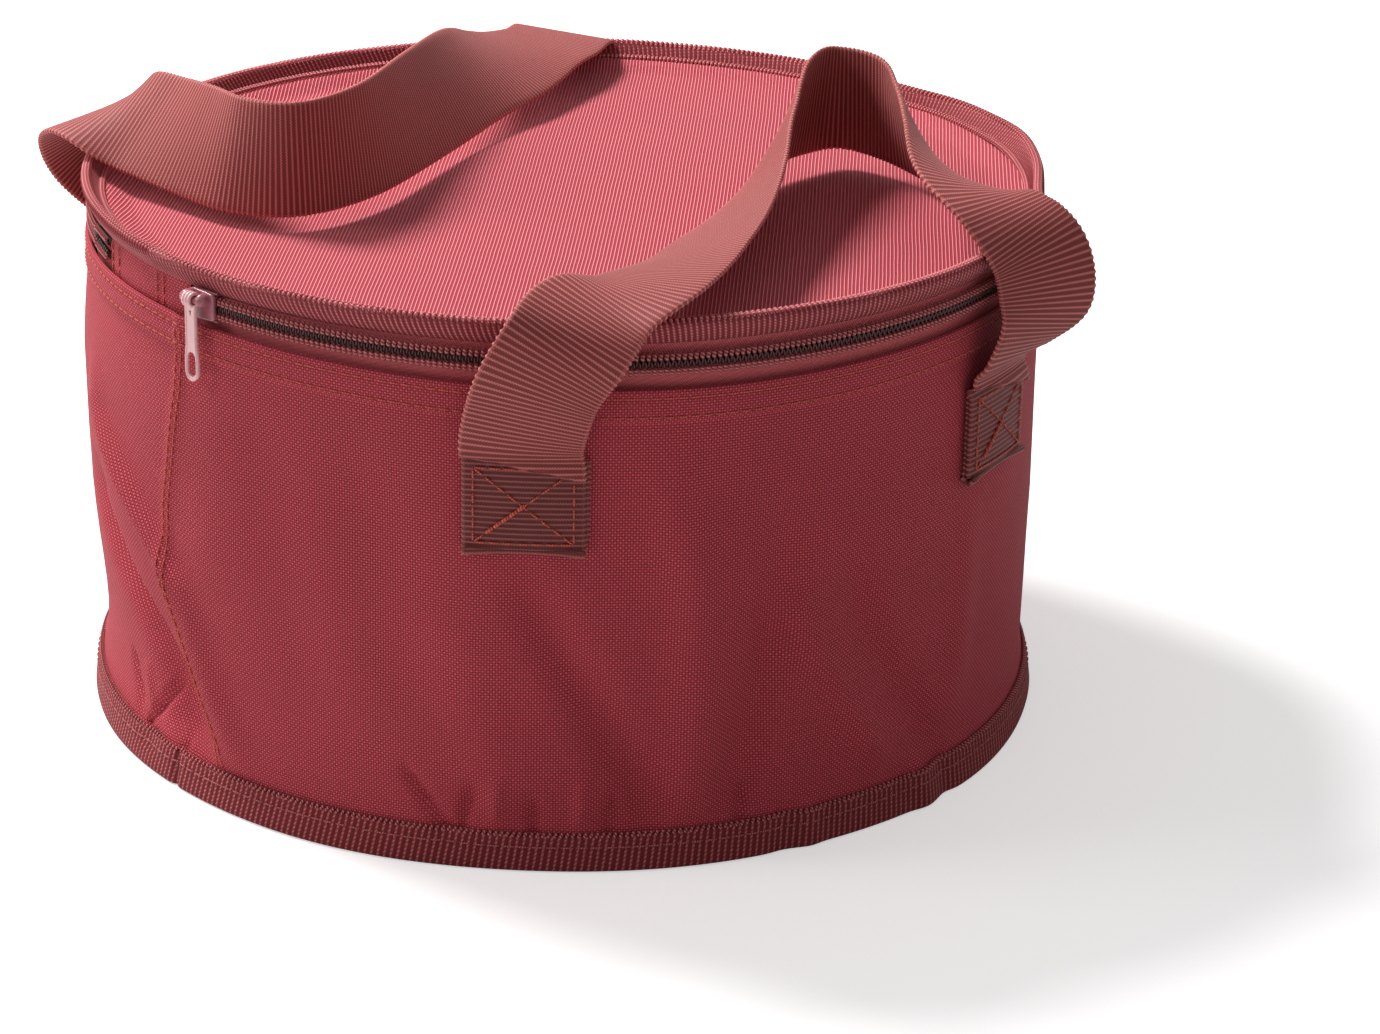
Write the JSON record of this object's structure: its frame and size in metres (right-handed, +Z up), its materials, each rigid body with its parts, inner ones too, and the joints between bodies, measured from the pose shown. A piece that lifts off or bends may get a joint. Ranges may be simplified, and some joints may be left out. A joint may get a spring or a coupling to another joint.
{
  "type": "storage bag",
  "caption": "Round zipped storage bag of stiff ribbed cloth with a flip-open lid and two webbing carry handles.",
  "frame": {"origin": "middle of the base underside, on the surface that the bag stands on", "axes": "+Z up; -X points at the cloth hinge of the lid, beside which the closed zip's slider rests; -Y is the side of the front handle and +Y that of the back handle"},
  "size_m": [0.2802, 0.2802, 0.1829],
  "materials": {
    "wall_cloth": "matte ribbed",
    "lid_cloth": "matte ribbed",
    "seam_tape": "herringbone weave",
    "zip_tape": "fine twill",
    "webbing": "ribbed webbing with a soft sheen",
    "coil_nylon": "satin",
    "painted_zinc": "semi-gloss"
  },
  "bodies": {
    "bag": {"base_panel": "wall_cloth", "wall_panel": "wall_cloth", "bottom_binding": "seam_tape", "lower_zip_tape": "zip_tape", "lower_zip_coil": "coil_nylon", "hinge_panel": "wall_cloth", "front_handle_left_end": "webbing", "front_handle_right_end": "webbing", "back_handle_left_end": "webbing", "back_handle_right_end": "webbing"},
    "lid": {"lid_panel": "lid_cloth", "lid_binding": "seam_tape", "upper_zip_tape": "zip_tape", "upper_zip_coil": "coil_nylon"},
    "slider": {"zip_slider": "painted_zinc"},
    "pull": {"pull_tab": "painted_zinc"},
    "front_handle": {"front_handle_strap": "webbing"},
    "back_handle": {"back_handle_strap": "webbing"}
  },
  "joints": [
    {"name": "lid_hinge", "type": "hinge", "parent": "bag", "child": "lid", "pos_m": [-0.1385, 0, 0.1434], "axis": [0, -1, 0], "range_deg": [0, 180], "deforming": ["front_handle_strap", "back_handle_strap", "hinge_panel"]},
    {"name": "zip_travel", "type": "hinge", "parent": "bag", "child": "slider", "pos_m": [0, 0, 0.1442], "axis": [0, 0, 1], "range_deg": [0, 335], "deforming": ["lower_zip_coil", "upper_zip_coil"]},
    {"name": "pull_swing", "type": "hinge", "parent": "slider", "child": "pull", "pos_m": [-0.13662, -0.03012, 0.1468], "axis": [-0.2153, 0.9765, 0], "range_deg": [0, 150]},
    {"name": "front_handle_swing", "type": "hinge", "parent": "bag", "child": "front_handle", "pos_m": [-0.01359, -0.12929, 0.118], "axis": [0.9945, -0.1045, 0], "range_deg": [0, 150]},
    {"name": "back_handle_swing", "type": "hinge", "parent": "bag", "child": "back_handle", "pos_m": [0, 0.13, 0.118], "axis": [-1, 0, 0], "range_deg": [0, 150]}
  ],
  "couplings": [
    {"joint": "zip_travel", "follows": "lid_hinge", "ratio": 1.86}
  ]
}
